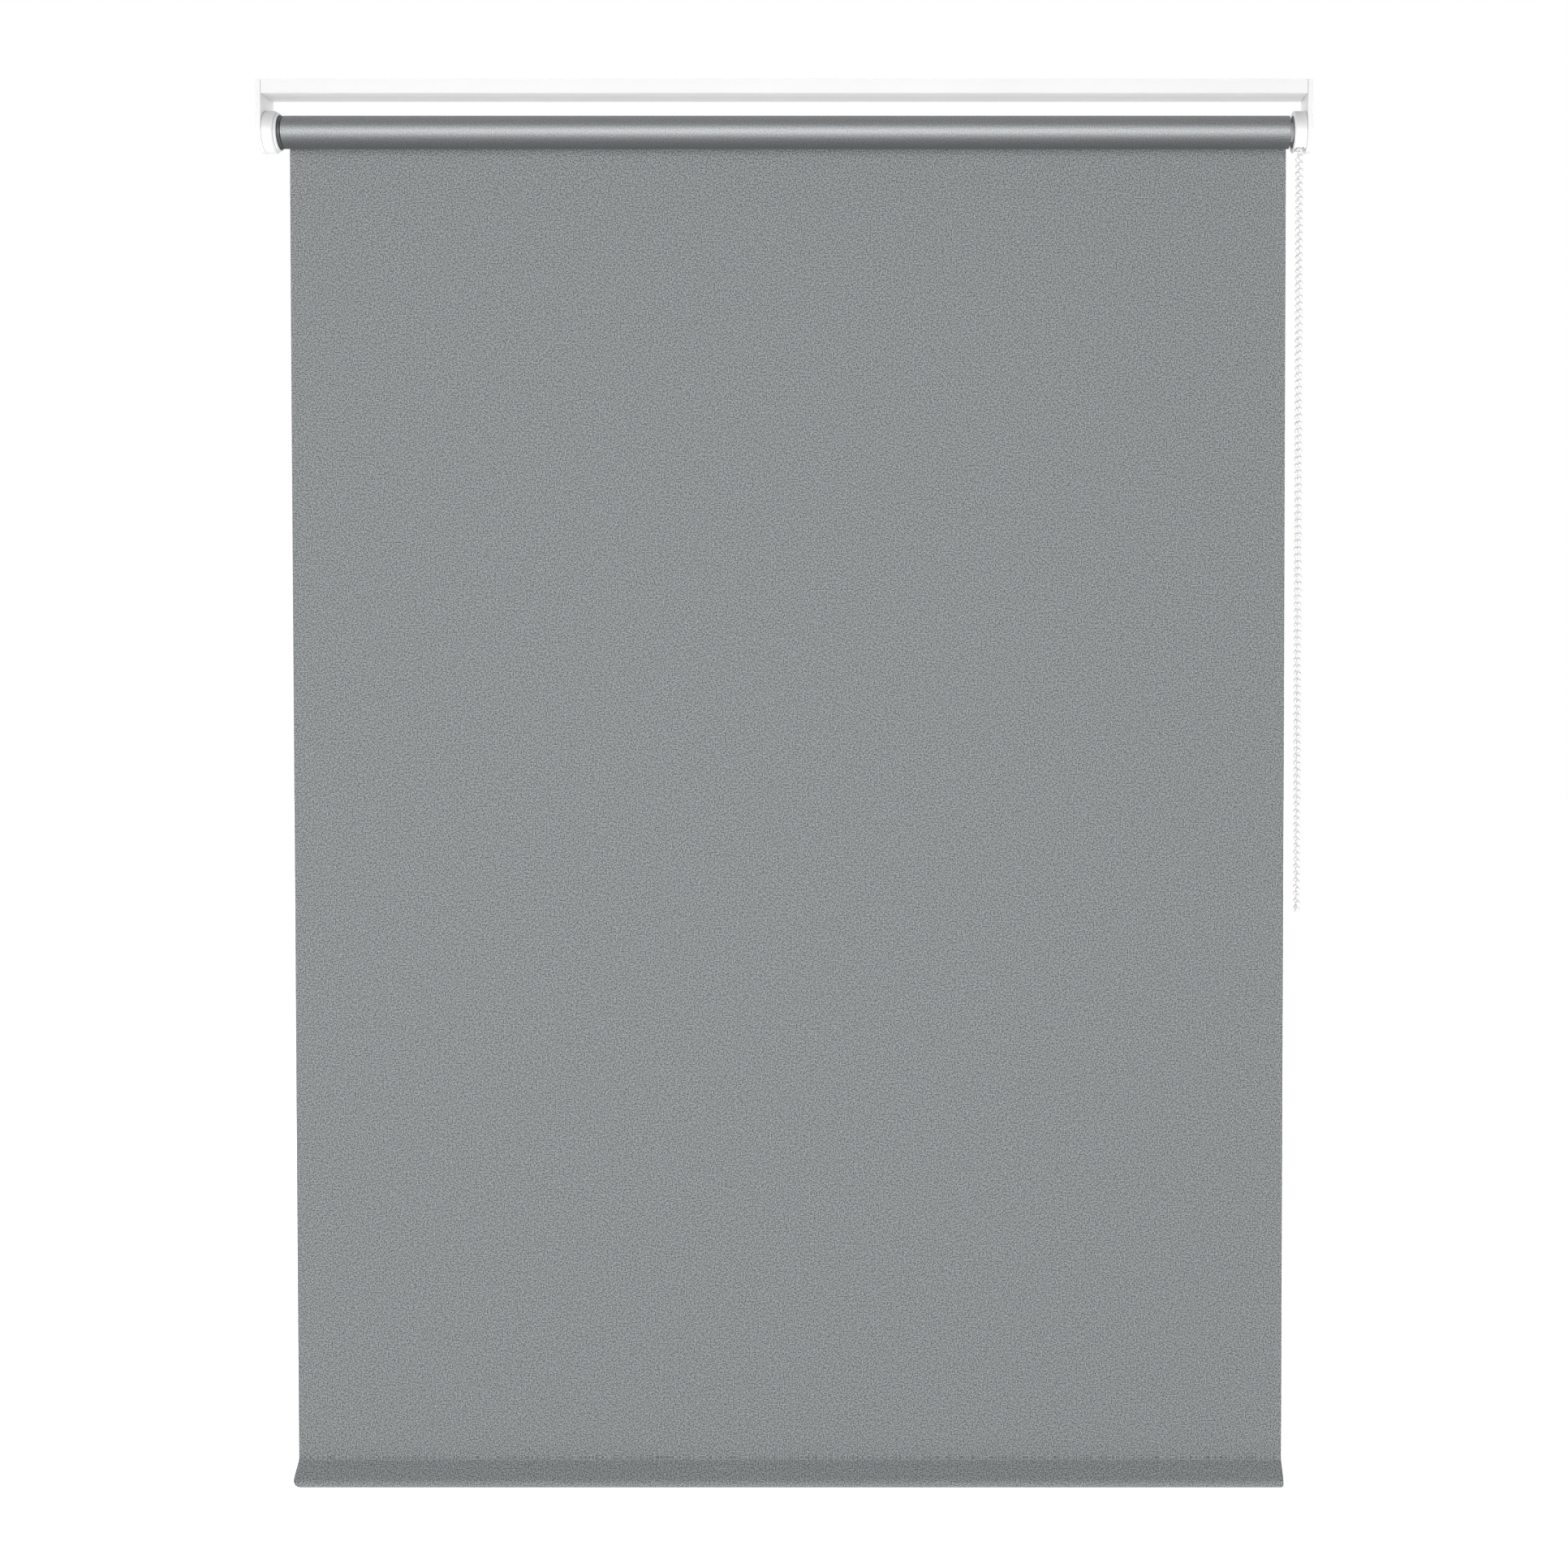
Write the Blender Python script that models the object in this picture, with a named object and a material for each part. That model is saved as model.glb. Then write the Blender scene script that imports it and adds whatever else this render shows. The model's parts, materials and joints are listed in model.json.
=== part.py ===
"""Chain-operated roller blind: head rail, two side brackets, roller, hanging sheet, hem bar and bead chain.

Units are metres. +Z is up, the room is on the -Y side, and the chain is on the +X side. The origin is the centre
of the head rail's top face. The blind is shown fully lowered. Pieces that touch keep a gap of GAP between meshes.
"""

import math

import bmesh
import bpy
from mathutils import Matrix

GAP = 0.0003  # between pieces that touch
PAST = 0.001  # how far a cutter runs past the face it opens

# Overall sizes
WIDTH = 0.900  # over the two side plates
DROP = 1.222  # rail top to hem bottom, fully lowered
DEPTH = 0.036  # rail, side plates and drums
AXIS_DROP = 0.042  # rail top to roller axis

# Head rail: a channel with two inward lips on top
RAIL_HEIGHT = 0.012
RAIL_WALL = 0.0015
RAIL_LIP = 0.006
TONGUE_LENGTH = 0.020
BRACKET_SCREW_INSET = 0.010  # from the plate's inner face
BRACKET_SCREW_SHANK = 0.0011
BRACKET_SCREW_HEAD = 0.0019
BRACKET_SCREW_HEAD_HEIGHT = 0.0012
BRACKET_SCREW_REACH = 0.0060
CLIP_LENGTH = 0.030
CLIP_WALL = 0.0012
CLIP_HOOK = 0.0035
CLIP_HOLE = 0.0022
CLIP_HOLE_OFFSET = 0.009
CLIP_INSET = 0.110  # end clips, from the plate's inner face

# Side plates and drums
PLATE = 0.004
DRUM_RADIUS = DEPTH / 2
IDLE_DRUM_WIDTH = 0.0095
IDLE_DRUM_EDGE = 0.0025  # rounding at the roller side
IDLE_DRUM_STEP = 0.0010  # shallow recess in the face
IDLE_DRUM_RIM = 0.0026  # face width outside the recess
IDLE_BOSS_RADIUS = 0.0070
IDLE_BOSS_LENGTH = 0.0050
DRIVE_DRUM_WIDTH = 0.0105
DRIVE_DRUM_EDGE = 0.0010  # chamfer at the roller side
DRIVE_DRUM_WALL = 0.0020
DRIVE_DRUM_BACK = 0.0015
DRIVE_DRUM_OPENING = 0.0140  # radius of the hole that the sprocket's disc fills
DRIVE_DRUM_FLAT = 0.0150  # axis to the flat underside

# Roller
TUBE_RADIUS = 0.0125
TUBE_WALL = 0.0015
TUBE_FLAT_DEPTH = 0.0009  # the flat that takes the fixing strip
STRIP_WIDTH = 0.0056
STRIP_THICKNESS = 0.0003
STRIP_END_MARGIN = 0.005
FABRIC = 0.00032  # one layer
WRAPS_LEFT = 4.4  # layers on the tube with the blind fully lowered
FABRIC_IDLE_MARGIN = 0.0153  # plate's inner face to the fabric's edge
FABRIC_DRIVE_MARGIN = 0.0137
COLLAR_STEP = 0.0002  # collar below the cloth's surface
COLLAR_WIDTH = 0.0046
PLUG_LENGTH = 0.030
FLANGE_WIDTH = 0.0017
NECK_RADIUS = 0.0081

# Sprung idle pin
PIN_RADIUS = 0.0030
PIN_SHOULDER_RADIUS = 0.0040
PIN_SHOULDER_LENGTH = 0.012
PIN_ENGAGE = 0.0065  # how far the pin reaches into the bracket
PIN_NOSE = 0.0006
RUNNING_FIT = 0.0003
PIN_SPRING_SOLID = 0.0052  # the spring's length with the pin pressed fully in
PIN_SPRING_WIRE = 0.0005
PIN_SPRING_TURNS = 5

# Clutch
SPINDLE_RADIUS = 0.0050
SPINDLE_NOSE_RADIUS = 0.0030
CORE_BORE = 0.0065
CORE_FRONT_WALL = 0.0025
CLUTCH_WIRE = 0.0007
CLUTCH_SPRING_TURNS = 6
CLUTCH_SPRING_LENGTH = 0.0095
WASHER_RADIUS = 0.0075
WASHER_THICKNESS = 0.0013
M3_SHANK = 0.0014
M3_HEAD = 0.0028
M3_HEAD_HEIGHT = 0.0017
M3_REACH = 0.012

# Bead chain
BEAD_RADIUS = 0.00225
BEAD_PITCH = 0.0060
SPROCKET_POCKETS = 8
CHAIN_OFFSET = 0.00435  # plate's inner face to the chain's plane
CHAIN_THREAD_RADIUS = 0.00075
BEAD_CLEARANCE = 0.0008  # guard to the beads
DISC_CLEARANCE = 0.0004  # sprocket's disc to the drum's opening
DISC_RECESS = 0.0010
DISC_WIDTH = 0.0018
CHAIN_TOP_GAP = 0.0010  # drum's flat to the free chain

# Hem
POCKET_HEIGHT = 0.024
POCKET_RADIUS_OUT = 0.0055  # rounding of the hem's underside
POCKET_VOID_MARGIN = 0.0030  # seam to the top of the space inside the pocket
BAR_WALL = 0.0010
BAR_TOP_MARGIN = 0.0080  # seam to the bar's upper edge
BAR_END_MARGIN = 0.0010  # bar cap, inside the fabric's edge
CAP_HEAD = 0.0015
CAP_SPIGOT = 0.012

# Worked out from the sizes above
INNER = WIDTH / 2 - PLATE  # plate's inner face, from the middle
RAIL_BOTTOM = -RAIL_HEIGHT
FABRIC_LEFT = -INNER + FABRIC_IDLE_MARGIN
FABRIC_RIGHT = INNER - FABRIC_DRIVE_MARGIN
WRAP_INNER = TUBE_RADIUS + GAP
ROLL_RADIUS = WRAP_INNER + WRAPS_LEFT * FABRIC
COLLAR_RADIUS = ROLL_RADIUS - COLLAR_STEP
PLUG_RADIUS = TUBE_RADIUS - TUBE_WALL - GAP
PIN_TRAVEL = PIN_ENGAGE + GAP  # the pin presses in until its tip leaves the bracket
IDLE_DRUM_FACE = -INNER + GAP + IDLE_DRUM_WIDTH
COLLAR_LEFT = IDLE_DRUM_FACE + GAP
COLLAR_RIGHT = COLLAR_LEFT + COLLAR_WIDTH
TUBE_LEFT = COLLAR_RIGHT + GAP
FLANGE_RIGHT = FABRIC_RIGHT - GAP
FLANGE_LEFT = FLANGE_RIGHT - FLANGE_WIDTH
TUBE_RIGHT = FLANGE_LEFT - GAP
CORE_LEFT = FLANGE_LEFT - PLUG_LENGTH
HOUSING_FACE = INNER - GAP - DRIVE_DRUM_WIDTH
DISC_LEFT = HOUSING_FACE + DISC_RECESS
DISC_RIGHT = DISC_LEFT + DISC_WIDTH
CORE_RIGHT = DISC_LEFT - GAP
SPROCKET_RIGHT = INNER - GAP - DRIVE_DRUM_BACK - GAP
CHAIN_X = INNER - CHAIN_OFFSET
CHAIN_RADIUS = BEAD_PITCH / (2 * math.sin(math.pi / SPROCKET_POCKETS))
POCKET_RADIUS = BEAD_RADIUS + GAP
DISC_RADIUS = DRIVE_DRUM_OPENING - DISC_CLEARANCE
GUARD_HALF_WIDTH = CHAIN_RADIUS - BEAD_RADIUS - BEAD_CLEARANCE
GUARD_TOP = -CHAIN_RADIUS - BEAD_RADIUS - BEAD_CLEARANCE
CHAIN_TOP = -AXIS_DROP - DRIVE_DRUM_FLAT - CHAIN_TOP_GAP
SHEET_REAR = ROLL_RADIUS
SHEET_FRONT = ROLL_RADIUS - FABRIC
SHEET_TOP = -AXIS_DROP - math.sqrt(ROLL_RADIUS**2 - (SHEET_FRONT - GAP) ** 2)
POCKET_TOP = -DROP + POCKET_HEIGHT
POCKET_CENTRE = (SHEET_REAR - POCKET_RADIUS_OUT, -DROP + POCKET_RADIUS_OUT)


def finish_of(name, colour, roughness, metallic=0.0):
    material = bpy.data.materials.new(name)
    material.use_nodes = True
    shader = material.node_tree.nodes["Principled BSDF"]
    shader.inputs["Base Color"].default_value = (*colour, 1)
    shader.inputs["Roughness"].default_value = roughness
    shader.inputs["Metallic"].default_value = metallic
    material.diffuse_color = (*colour, 1)
    return material


def empty(name, location, parent=None):
    obj = bpy.data.objects.new(name, None)
    obj.location = location
    obj.parent = parent
    bpy.context.scene.collection.objects.link(obj)
    return obj


def piece(name, mesh, material, parent):
    """Names a bmesh as an object of its own, with its faces out and its round sides smooth."""
    bmesh.ops.recalc_face_normals(mesh, faces=mesh.faces)
    data = bpy.data.meshes.new(name)
    mesh.to_mesh(data)
    mesh.free()
    data.materials.append(material)
    data.shade_smooth()
    data.set_sharp_from_angle(angle=math.radians(35))
    obj = bpy.data.objects.new(name, data)
    obj.parent = parent
    bpy.context.scene.collection.objects.link(obj)
    return obj


def arc(centre, radius, start, end, steps):
    """Points on an arc, angles in degrees, ends included."""
    angles = [math.radians(start + (end - start) * i / steps) for i in range(steps + 1)]
    return [(centre[0] + radius * math.cos(a), centre[1] + radius * math.sin(a)) for a in angles]


def prism(outline, left, right):
    """A (y, z) outline extruded along X."""
    mesh = bmesh.new()
    face = mesh.faces.new([mesh.verts.new((left, y, z)) for y, z in outline])
    made = bmesh.ops.extrude_face_region(mesh, geom=[face])
    moved = [v for v in made["geom"] if isinstance(v, bmesh.types.BMVert)]
    bmesh.ops.translate(mesh, verts=moved, vec=(right - left, 0, 0))
    return mesh


def hollow_prism(outer, inner, left, right):
    """Two (y, z) outlines with as many points each, extruded along X with the space inside left open."""
    mesh = bmesh.new()
    rings = [
        [mesh.verts.new((x, y, z)) for y, z in outline]
        for x, outline in ((left, outer), (right, outer), (right, inner), (left, inner))
    ]
    count = len(outer)
    for ring, following in zip(rings, rings[1:] + rings[:1]):
        for i in range(count):
            mesh.faces.new((ring[i], ring[(i + 1) % count], following[(i + 1) % count], following[i]))
    return mesh


def box(left, right, front, rear, bottom, top):
    return prism([(front, bottom), (rear, bottom), (rear, top), (front, top)], left, right)


def turned(profile, steps=28):
    """An (x, radius) profile turned about the roller's axis. It runs closed, or from axis to axis."""
    mesh = bmesh.new()
    points = [mesh.verts.new((x, radius, 0)) for x, radius in profile]
    edges = [mesh.edges.new(pair) for pair in zip(points, points[1:])]
    if min(radius for _, radius in profile) > 0:
        edges.append(mesh.edges.new((points[-1], points[0])))
    bmesh.ops.spin(
        mesh, geom=points + edges, cent=(0, 0, 0), axis=(1, 0, 0), angle=2 * math.pi, steps=steps, use_merge=True
    )
    bmesh.ops.remove_doubles(mesh, verts=mesh.verts, dist=1e-6)
    return mesh


def cut(target, mesh, parent, name="cutter"):
    cutter(target, mesh, parent, name, "DIFFERENCE")


def join(target, mesh, parent, name="addition"):
    cutter(target, mesh, parent, name, "UNION")


def cutter(target, mesh, parent, name, operation):
    """Adds a Boolean whose operand is a hidden helper made from the mesh."""
    helper = piece(f"{target.name}_{name}", mesh, target.data.materials[0], parent)
    helper.hide_render = True
    helper.display_type = "WIRE"
    modifier = target.modifiers.new(name, "BOOLEAN")
    modifier.operation = operation
    modifier.solver = "EXACT"
    modifier.object = helper


def cylinder(centre, radius, start, end, axis="Z", steps=16):
    """A round bar about a line parallel to axis through centre, from start to end along that axis."""
    mesh = bmesh.new()
    bmesh.ops.create_cone(mesh, cap_ends=True, segments=steps, radius1=radius, radius2=radius, depth=end - start)
    if axis == "X":
        bmesh.ops.rotate(mesh, verts=mesh.verts, matrix=Matrix.Rotation(math.pi / 2, 3, "Y"))
    middle = (start + end) / 2
    offset = (middle, centre[0], centre[1]) if axis == "X" else (centre[0], centre[1], middle)
    bmesh.ops.translate(mesh, verts=mesh.verts, vec=offset)
    return mesh


def wire(name, points, radius, material, parent, sides=1, radii=None):
    """A round wire through the points, with flat closed ends."""
    curve = bpy.data.curves.new(name, "CURVE")
    curve.dimensions = "3D"
    curve.bevel_depth = radius
    curve.bevel_resolution = sides
    curve.use_fill_caps = True
    spline = curve.splines.new("POLY")
    spline.points.add(len(points) - 1)
    for i, point in enumerate(points):
        spline.points[i].co = (*point, 1)
        spline.points[i].radius = radii[i] if radii else 1
    spline.use_smooth = True
    curve.materials.append(material)
    obj = bpy.data.objects.new(name, curve)
    obj.parent = parent
    bpy.context.scene.collection.objects.link(obj)
    return obj


def coil(left, length, radius, turns, points_per_turn=10):
    count = turns * points_per_turn
    return [
        (
            left + length * i / count,
            radius * math.cos(2 * math.pi * i / points_per_turn),
            radius * math.sin(2 * math.pi * i / points_per_turn),
        )
        for i in range(count + 1)
    ]


def smooth_route(stations, spacing):
    """Points at an even spacing along a smooth curve through the stations."""
    dense = []
    for i in range(len(stations) - 1):
        before = stations[max(i - 1, 0)]
        after = stations[min(i + 2, len(stations) - 1)]
        for step in range(40):
            dense.append(curve_point(before, stations[i], stations[i + 1], after, step / 40))
    dense.append(stations[-1])
    lengths = [0.0]
    for a, b in zip(dense, dense[1:]):
        lengths.append(lengths[-1] + math.dist(a, b))
    count = round(lengths[-1] / spacing)
    points = []
    at = 0
    for i in range(count + 1):
        wanted = lengths[-1] * i / count
        while at < len(lengths) - 2 and lengths[at + 1] < wanted:
            at += 1
        share = (wanted - lengths[at]) / (lengths[at + 1] - lengths[at])
        points.append(tuple(p + (q - p) * share for p, q in zip(dense[at], dense[at + 1])))
    return points


def curve_point(before, a, b, after, t):
    """A point on the Catmull-Rom curve between a and b."""
    return tuple(
        0.5 * (2 * q + (r - p) * t + (2 * p - 5 * q + 4 * r - s) * t**2 + (3 * q - p - 3 * r + s) * t**3)
        for p, q, r, s in zip(before, a, b, after)
    )


def teardrop(radius, seam_top):
    """The hem's section: a straight rear side, a round underside and a straight front that leans back to the seam."""
    y, z = POCKET_CENTRE
    lean = front_lean()
    outline = arc(POCKET_CENTRE, radius, 0, -(180 + lean), 16)
    slope = math.tan(math.radians(lean))
    front_foot = outline[-1]
    outline.append((front_foot[0] + (seam_top - front_foot[1]) * slope, seam_top))
    outline.append((y + radius, seam_top))
    return outline


def front_lean():
    """Angle from upright, in degrees, of the pocket's front side: it meets the seam two layers thick."""
    seam = (SHEET_REAR - 2 * FABRIC, POCKET_TOP)
    across = seam[0] - POCKET_CENTRE[0]
    up = seam[1] - POCKET_CENTRE[1]
    reach = math.hypot(across, up)
    return math.degrees(math.asin(POCKET_RADIUS_OUT / reach) + math.atan2(across, up))


def build_head_rail(head):
    half = DEPTH / 2
    inside = half - RAIL_WALL
    lip = half - RAIL_LIP
    outline = [
        (-half, 0), (-half, RAIL_BOTTOM), (half, RAIL_BOTTOM), (half, 0), (lip, 0), (lip, -RAIL_WALL),
        (inside, -RAIL_WALL), (inside, RAIL_BOTTOM + RAIL_WALL), (-inside, RAIL_BOTTOM + RAIL_WALL),
        (-inside, -RAIL_WALL), (-lip, -RAIL_WALL), (-lip, 0),
    ]
    rail = piece("head_rail", prism(outline, -INNER + GAP, INNER - GAP), WHITE_METAL, head)
    for side, name in ((-1, "idle_end"), (1, "drive_end")):
        hole = cylinder(
            (side * (INNER - BRACKET_SCREW_INSET), bracket_screw_y()),
            BRACKET_SCREW_HEAD + GAP, -RAIL_WALL - PAST, PAST,
        )
        cut(rail, hole, head, name)


def bracket_screw_y():
    """The screw sits in the middle of the rear lip."""
    return DEPTH / 2 - RAIL_LIP / 2


def side_plate_outline():
    """From the rail's top down to a round end about the roller's axis."""
    return [(-DRUM_RADIUS, 0), *arc((0, -AXIS_DROP), DRUM_RADIUS, 180, 360, 20), (DRUM_RADIUS, 0)]


def build_bracket(name, side, head):
    """A side plate with a tongue that slides into the rail, tapped for its screw."""
    low, high = sorted((side * INNER, side * WIDTH / 2))
    bracket = piece(name, prism(side_plate_outline(), low, high), WHITE_PLASTIC, head)
    inside = DEPTH / 2 - RAIL_WALL - GAP
    tongue_end, tongue_root = side * (INNER - TONGUE_LENGTH), side * (INNER + PLATE / 2)
    tongue = box(
        min(tongue_end, tongue_root), max(tongue_end, tongue_root), -inside, inside,
        RAIL_BOTTOM + RAIL_WALL + GAP, -RAIL_WALL - GAP,
    )
    join(bracket, tongue, head, "tongue")
    tapping = cylinder(
        (side * (INNER - BRACKET_SCREW_INSET), bracket_screw_y()),
        BRACKET_SCREW_SHANK + GAP, -RAIL_WALL - BRACKET_SCREW_REACH - 2 * GAP, 0,
    )
    cut(bracket, tapping, head, "tapping")
    return bracket


def build_bracket_screw(name, side, head):
    base = -RAIL_WALL
    screw = cylinder((0, 0), BRACKET_SCREW_HEAD, base, base + BRACKET_SCREW_HEAD_HEIGHT)
    obj = piece(name, screw, STEEL, head)
    shank = cylinder((0, 0), BRACKET_SCREW_SHANK, base - BRACKET_SCREW_REACH, base + BRACKET_SCREW_HEAD_HEIGHT / 2)
    at = empty(f"{name}_place", (side * (INNER - BRACKET_SCREW_INSET), bracket_screw_y(), 0), head)
    obj.parent = at
    join(obj, shank, at, "shank")


def build_clip(name, middle, head):
    """A pressed clip that hooks under both lips of the rail, flush with its top."""
    lip = DEPTH / 2 - RAIL_LIP - GAP
    under = -RAIL_WALL - GAP
    half = [
        (lip, 0), (lip, under), (lip + CLIP_HOOK, under), (lip + CLIP_HOOK, under - CLIP_WALL),
        (lip - CLIP_WALL, under - CLIP_WALL), (lip - CLIP_WALL, -CLIP_WALL),
    ]
    outline = half + [(-y, z) for y, z in reversed(half)]
    clip = piece(name, prism(outline, middle - CLIP_LENGTH / 2, middle + CLIP_LENGTH / 2), STEEL, head)
    for side, end in ((-1, "left_hole"), (1, "right_hole")):
        hole = cylinder((middle + side * CLIP_HOLE_OFFSET, 0), CLIP_HOLE, -CLIP_WALL - PAST, PAST)
        cut(clip, hole, head, end)


def build_idle_side(head_axis, bracket, roller, pin):
    """Fixed: boss and drum. On the roller: plug with its collar, sprung pin, spring and seat."""
    boss_end = -INNER + IDLE_BOSS_LENGTH
    bore = PIN_RADIUS + RUNNING_FIT
    join(bracket, turned([(-INNER - PLATE / 2, 0), (-INNER - PLATE / 2, IDLE_BOSS_RADIUS),
                          (boss_end, IDLE_BOSS_RADIUS), (boss_end, 0)]), head_axis, "boss")
    pin_tip = boss_end - PIN_ENGAGE
    cut(bracket, cylinder((0, 0), bore, pin_tip - GAP, boss_end + PAST, "X", 16), head_axis, "pin_bore")

    hole = IDLE_BOSS_RADIUS + GAP
    left = -INNER + GAP
    step_radius = DRUM_RADIUS - IDLE_DRUM_RIM
    rounding = arc((IDLE_DRUM_FACE - IDLE_DRUM_EDGE, DRUM_RADIUS - IDLE_DRUM_EDGE), IDLE_DRUM_EDGE, 90, 0, 5)
    piece("idle_drum", turned([
        (left, hole), (left, DRUM_RADIUS), *rounding, (IDLE_DRUM_FACE, step_radius),
        (IDLE_DRUM_FACE - IDLE_DRUM_STEP, step_radius), (IDLE_DRUM_FACE - IDLE_DRUM_STEP, hole),
    ], 36), WHITE_PLASTIC, head_axis)

    plug_right = COLLAR_RIGHT + PLUG_LENGTH
    wide_bore = PIN_SHOULDER_RADIUS + RUNNING_FIT
    shoulder_left = COLLAR_RIGHT + GAP
    piece("idle_plug", turned([
        (COLLAR_LEFT, bore), (COLLAR_LEFT, COLLAR_RADIUS), (COLLAR_RIGHT, COLLAR_RADIUS),
        (COLLAR_RIGHT, PLUG_RADIUS), (plug_right, PLUG_RADIUS), (plug_right, wide_bore),
        (COLLAR_RIGHT, wide_bore), (COLLAR_RIGHT, bore),
    ]), DARK_PLASTIC, roller)

    shoulder_right = shoulder_left + PIN_SHOULDER_LENGTH
    piece("idle_pin", turned([
        (pin_tip, 0), (pin_tip, PIN_RADIUS - PIN_NOSE), (pin_tip + PIN_NOSE, PIN_RADIUS),
        (shoulder_left, PIN_RADIUS), (shoulder_left, PIN_SHOULDER_RADIUS),
        (shoulder_right, PIN_SHOULDER_RADIUS), (shoulder_right, 0),
    ], 16), STEEL, pin)

    seat_left = shoulder_right + PIN_TRAVEL + PIN_SPRING_SOLID
    piece("spring_seat", turned([
        (seat_left, 0), (seat_left, PIN_SHOULDER_RADIUS), (plug_right - GAP, PIN_SHOULDER_RADIUS),
        (plug_right - GAP, 0),
    ], 16), DARK_PLASTIC, roller)

    spring_left = shoulder_right + GAP + PIN_SPRING_WIRE / 2
    spring_length = seat_left - GAP - PIN_SPRING_WIRE / 2 - spring_left
    wire("idle_pin_spring", coil(spring_left, spring_length, PIN_SHOULDER_RADIUS - PIN_SPRING_WIRE,
                                 PIN_SPRING_TURNS), PIN_SPRING_WIRE / 2, STEEL, roller)


def build_drive_side(head_axis, bracket, roller):
    """Fixed: housing, guard, spindle. On the roller: core, sprocket, wrap springs, beads in the pockets."""
    inner_radius = DRUM_RADIUS - DRIVE_DRUM_WALL
    back = INNER - GAP - DRIVE_DRUM_BACK
    front_wall = HOUSING_FACE + DRIVE_DRUM_WALL
    spindle_hole = SPINDLE_NOSE_RADIUS + GAP
    housing = piece("drive_housing", turned([
        (HOUSING_FACE, DRIVE_DRUM_OPENING), (HOUSING_FACE, DRUM_RADIUS - DRIVE_DRUM_EDGE),
        (HOUSING_FACE + DRIVE_DRUM_EDGE, DRUM_RADIUS), (INNER - GAP, DRUM_RADIUS),
        (INNER - GAP, spindle_hole), (back, spindle_hole), (back, inner_radius),
        (front_wall, inner_radius), (front_wall, DRIVE_DRUM_OPENING),
    ], 36), WHITE_PLASTIC, head_axis)
    cut(housing, box(HOUSING_FACE + DRIVE_DRUM_EDGE, INNER + PAST, -DEPTH, DEPTH,
                     -DEPTH, -DRIVE_DRUM_FLAT), head_axis, "flat")
    strand_edge = CHAIN_RADIUS + POCKET_RADIUS
    cut(housing, box(front_wall + GAP, back, -strand_edge, strand_edge,
                     -DEPTH, -CHAIN_RADIUS), head_axis, "chain_slot")

    piece("chain_guard", box(DISC_RIGHT + 2 * GAP, back - GAP, -GUARD_HALF_WIDTH, GUARD_HALF_WIDTH,
                             -DRIVE_DRUM_FLAT, GUARD_TOP), WHITE_PLASTIC, head_axis)

    thread = M3_SHANK + GAP
    nose_start = CORE_RIGHT
    piece("stator_spindle", turned([
        (CORE_LEFT, thread), (CORE_LEFT, SPINDLE_RADIUS), (nose_start, SPINDLE_RADIUS),
        (nose_start, SPINDLE_NOSE_RADIUS), (INNER - GAP, SPINDLE_NOSE_RADIUS), (INNER - GAP, thread),
        (INNER - M3_REACH, thread), (INNER - M3_REACH, thread / 2),
        (CORE_LEFT + M3_REACH, thread / 2), (CORE_LEFT + M3_REACH, thread),
    ], 20), STEEL, head_axis)
    head_seat = WIDTH / 2 - M3_HEAD_HEIGHT - GAP
    cut(bracket, cylinder((0, 0), thread, INNER - PAST, WIDTH / 2 + PAST, "X", 16), head_axis, "screw_hole")
    cut(bracket, cylinder((0, 0), M3_HEAD + GAP, head_seat, WIDTH / 2 + PAST, "X", 16), head_axis, "head_seat")
    piece("spindle_screw", turned([
        (INNER - M3_REACH + GAP, 0), (INNER - M3_REACH + GAP, M3_SHANK), (head_seat + GAP, M3_SHANK),
        (head_seat + GAP, M3_HEAD), (WIDTH / 2, M3_HEAD), (WIDTH / 2, 0),
    ], 16), STEEL, head_axis)
    washer_right = CORE_LEFT - GAP
    washer_left = washer_right - WASHER_THICKNESS
    piece("spindle_washer", turned([
        (washer_left, thread), (washer_left, WASHER_RADIUS), (washer_right, WASHER_RADIUS),
        (washer_right, thread),
    ], 16), STEEL, head_axis)
    piece("washer_screw", turned([
        (washer_left - GAP - M3_HEAD_HEIGHT, 0), (washer_left - GAP - M3_HEAD_HEIGHT, M3_HEAD),
        (washer_left - GAP, M3_HEAD), (washer_left - GAP, M3_SHANK),
        (CORE_LEFT + M3_REACH - GAP, M3_SHANK), (CORE_LEFT + M3_REACH - GAP, 0),
    ], 16), STEEL, head_axis)

    front_bore = SPINDLE_RADIUS + RUNNING_FIT
    piece("drive_core", turned([
        (CORE_LEFT, CORE_BORE), (CORE_LEFT, PLUG_RADIUS), (FLANGE_LEFT, PLUG_RADIUS),
        (FLANGE_LEFT, TUBE_RADIUS), (FLANGE_RIGHT, TUBE_RADIUS), (FLANGE_RIGHT, NECK_RADIUS),
        (CORE_RIGHT, NECK_RADIUS), (CORE_RIGHT, front_bore), (CORE_RIGHT - CORE_FRONT_WALL, front_bore),
        (CORE_RIGHT - CORE_FRONT_WALL, CORE_BORE),
    ]), WHITE_PLASTIC, roller)

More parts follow.
